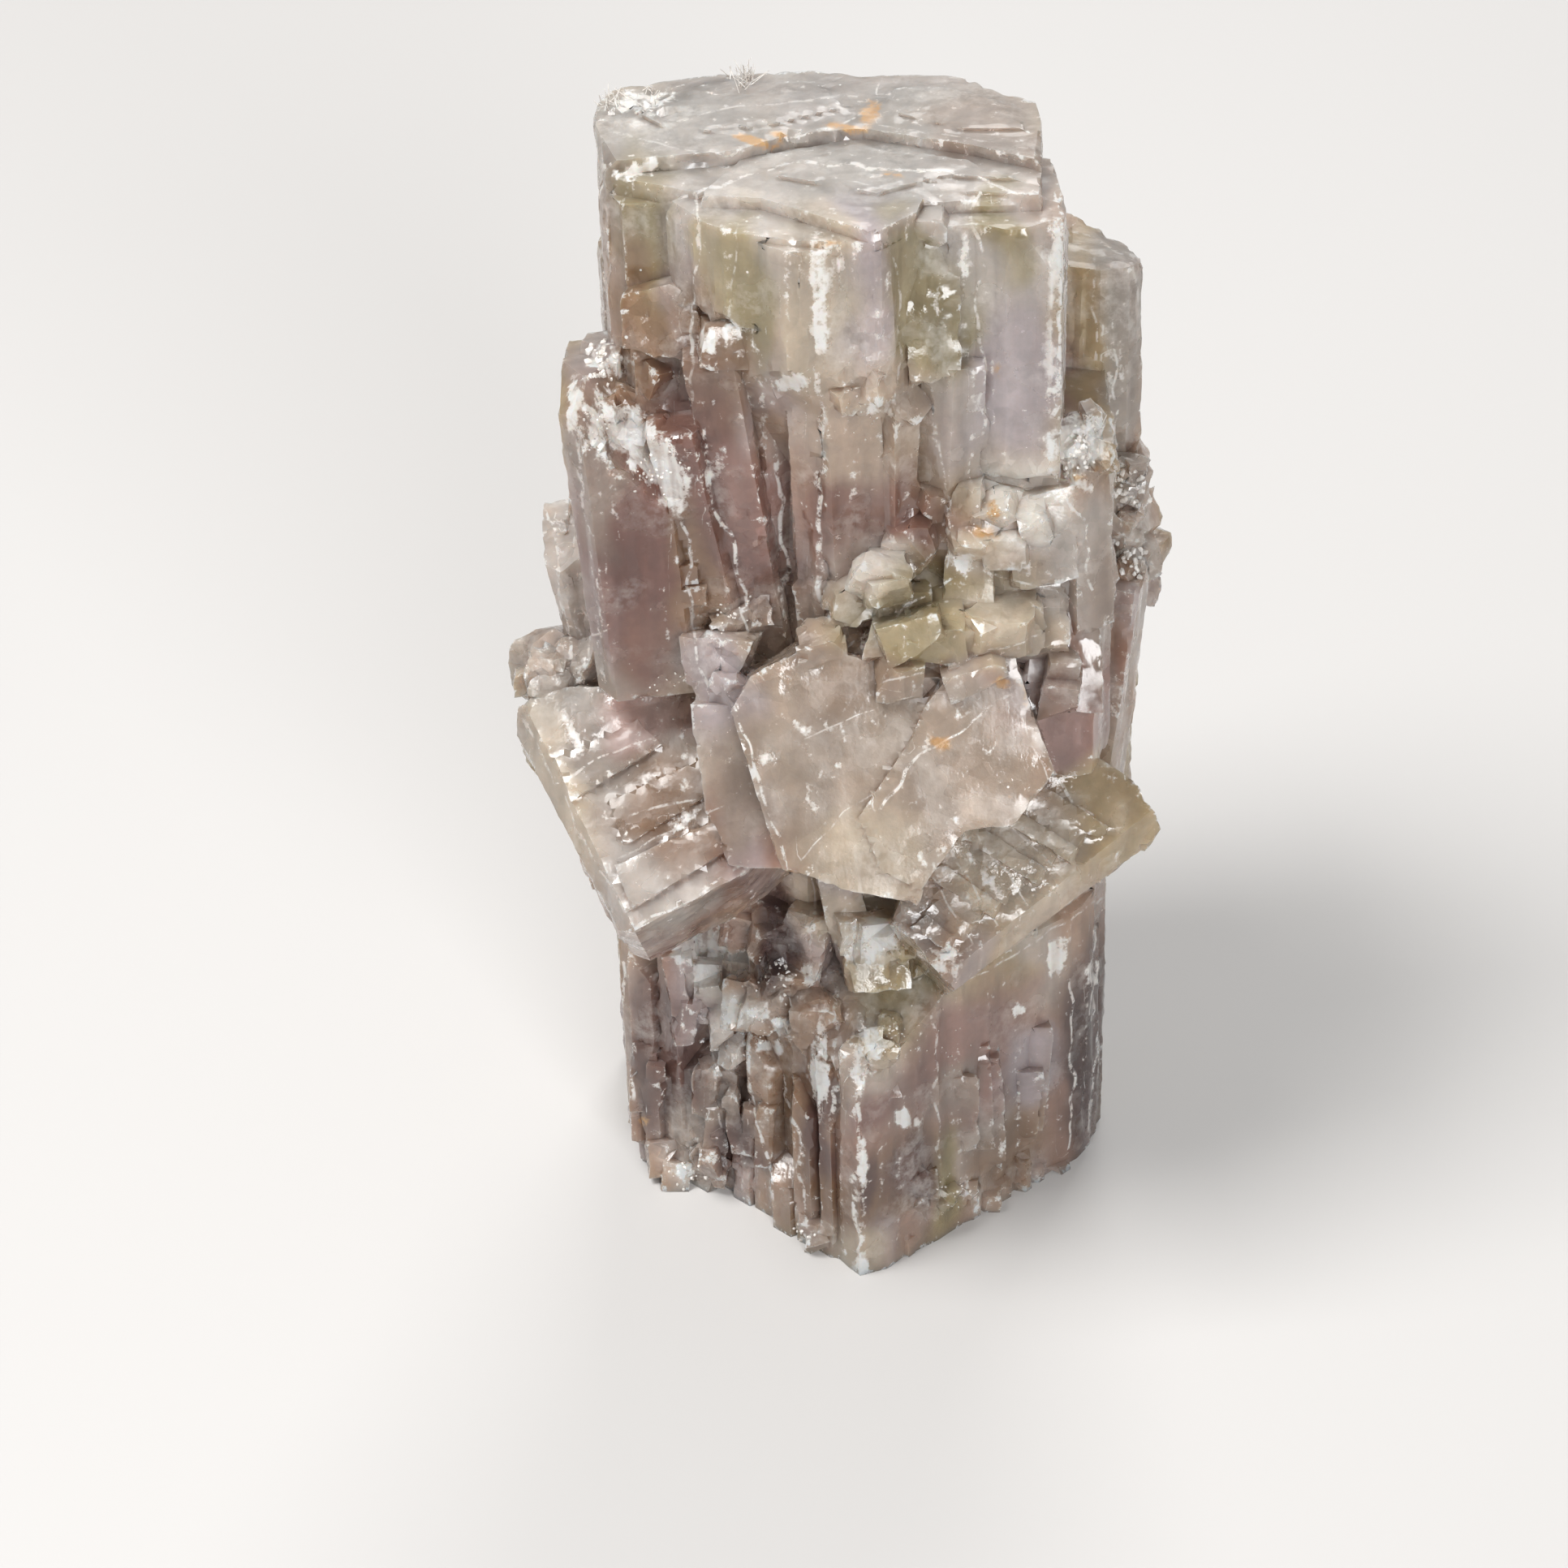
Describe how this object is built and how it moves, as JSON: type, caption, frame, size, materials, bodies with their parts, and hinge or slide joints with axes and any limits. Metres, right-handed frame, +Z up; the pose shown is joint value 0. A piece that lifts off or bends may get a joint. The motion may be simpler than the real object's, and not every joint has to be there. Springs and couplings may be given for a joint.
{
  "type": "raw aragonite crystal cluster",
  "caption": "Raw aragonite: a leaning twinned column with a flat stepped top, crossed at its waist by tilted blocks and a notched plate, standing on a flat foot.",
  "frame": {"origin": "middle of the bounding box in plan, at the flat foot that the specimen stands on", "axes": "+Z up, roughly along the crystal columns; -Y towards the front with the notched plate; +X to the right as seen from the front"},
  "size_m": [0.0244, 0.023, 0.0429],
  "materials": {
    "aragonite": "translucent crystal, glassy to frosted"
  },
  "bodies": {
    "root": {"aragonite_cluster": "aragonite"}
  },
  "joints": []
}
